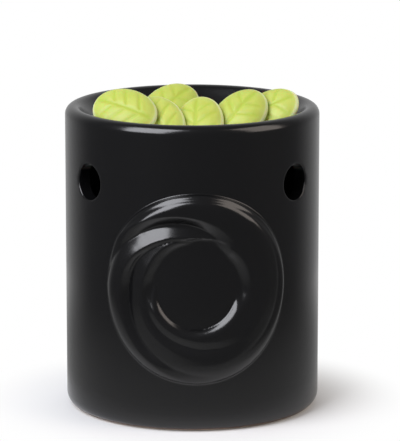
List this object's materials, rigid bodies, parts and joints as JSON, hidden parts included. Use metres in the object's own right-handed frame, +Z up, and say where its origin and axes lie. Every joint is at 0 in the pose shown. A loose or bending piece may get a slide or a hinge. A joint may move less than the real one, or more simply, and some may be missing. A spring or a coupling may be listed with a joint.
{
  "type": "essential oil burner",
  "caption": "Cylindrical black glazed burner with a swirl relief, round vents, a bowl of leaf-shaped wax melts in its top and a tealight behind an arched rear door",
  "frame": {"origin": "on the pot's axis, in the plane of its flat base", "axes": "+Z up along the pot; the swirl relief faces -Y and the arched door faces +Y; +X is to the right seen from the front"},
  "size_m": [0.1, 0.1035, 0.1277],
  "materials": {
    "black_glaze": "satin gloss black glaze over slip-cast clay",
    "melt_wax": "cast yellow-green wax, slightly translucent",
    "cup_aluminium": "thin pressed sheet, bright",
    "candle_wax": "poured white wax",
    "sustainer_steel": "bright rolled sheet",
    "wick_cotton": "braided cotton, waxed"
  },
  "bodies": {
    "burner": {"burner_body": "black_glaze"},
    "tealight": {"tealight_cup": "cup_aluminium"},
    "candle": {"tealight_wax": "candle_wax", "wick_sustainer": "sustainer_steel", "tealight_wick": "wick_cotton"},
    "melt_left": {"wax_melt_left": "melt_wax"},
    "melt_left_centre": {"wax_melt_left_centre": "melt_wax"},
    "melt_tall": {"wax_melt_tall": "melt_wax"},
    "melt_centre": {"wax_melt_centre": "melt_wax"},
    "melt_right_centre": {"wax_melt_right_centre": "melt_wax"},
    "melt_right": {"wax_melt_right": "melt_wax"},
    "melt_back_left": {"wax_melt_back_left": "melt_wax"},
    "melt_back_right": {"wax_melt_back_right": "melt_wax"},
    "melt_floor": {"wax_melt_floor": "melt_wax"}
  },
  "joints": [
    {"name": "tealight_out", "type": "slide", "parent": "burner", "child": "tealight", "axis": [0, 1, 0], "range_m": [0, 0.09]},
    {"name": "candle_lift", "type": "slide", "parent": "tealight", "child": "candle", "axis": [0, 0, 1], "range_m": [0, 0.02]},
    {"name": "melt_left_lift", "type": "slide", "parent": "burner", "child": "melt_left", "axis": [0, 0.7071, 0.7071], "range_m": [0, 0.05]},
    {"name": "melt_left_centre_lift", "type": "slide", "parent": "burner", "child": "melt_left_centre", "axis": [0, 0.7071, 0.7071], "range_m": [0, 0.05]},
    {"name": "melt_tall_lift", "type": "slide", "parent": "burner", "child": "melt_tall", "axis": [0, 0.7071, 0.7071], "range_m": [0, 0.05]},
    {"name": "melt_centre_lift", "type": "slide", "parent": "burner", "child": "melt_centre", "axis": [0, 0.7071, 0.7071], "range_m": [0, 0.05]},
    {"name": "melt_right_centre_lift", "type": "slide", "parent": "burner", "child": "melt_right_centre", "axis": [0, 0.7071, 0.7071], "range_m": [0, 0.05]},
    {"name": "melt_right_lift", "type": "slide", "parent": "burner", "child": "melt_right", "axis": [0, 0.7071, 0.7071], "range_m": [0, 0.05]},
    {"name": "melt_back_left_lift", "type": "slide", "parent": "burner", "child": "melt_back_left", "axis": [0, 0.7071, 0.7071], "range_m": [0, 0.05]},
    {"name": "melt_back_right_lift", "type": "slide", "parent": "burner", "child": "melt_back_right", "axis": [0, 0.7071, 0.7071], "range_m": [0, 0.05]},
    {"name": "melt_floor_lift", "type": "slide", "parent": "burner", "child": "melt_floor", "axis": [0, 0.7071, 0.7071], "range_m": [0, 0.05]}
  ]
}
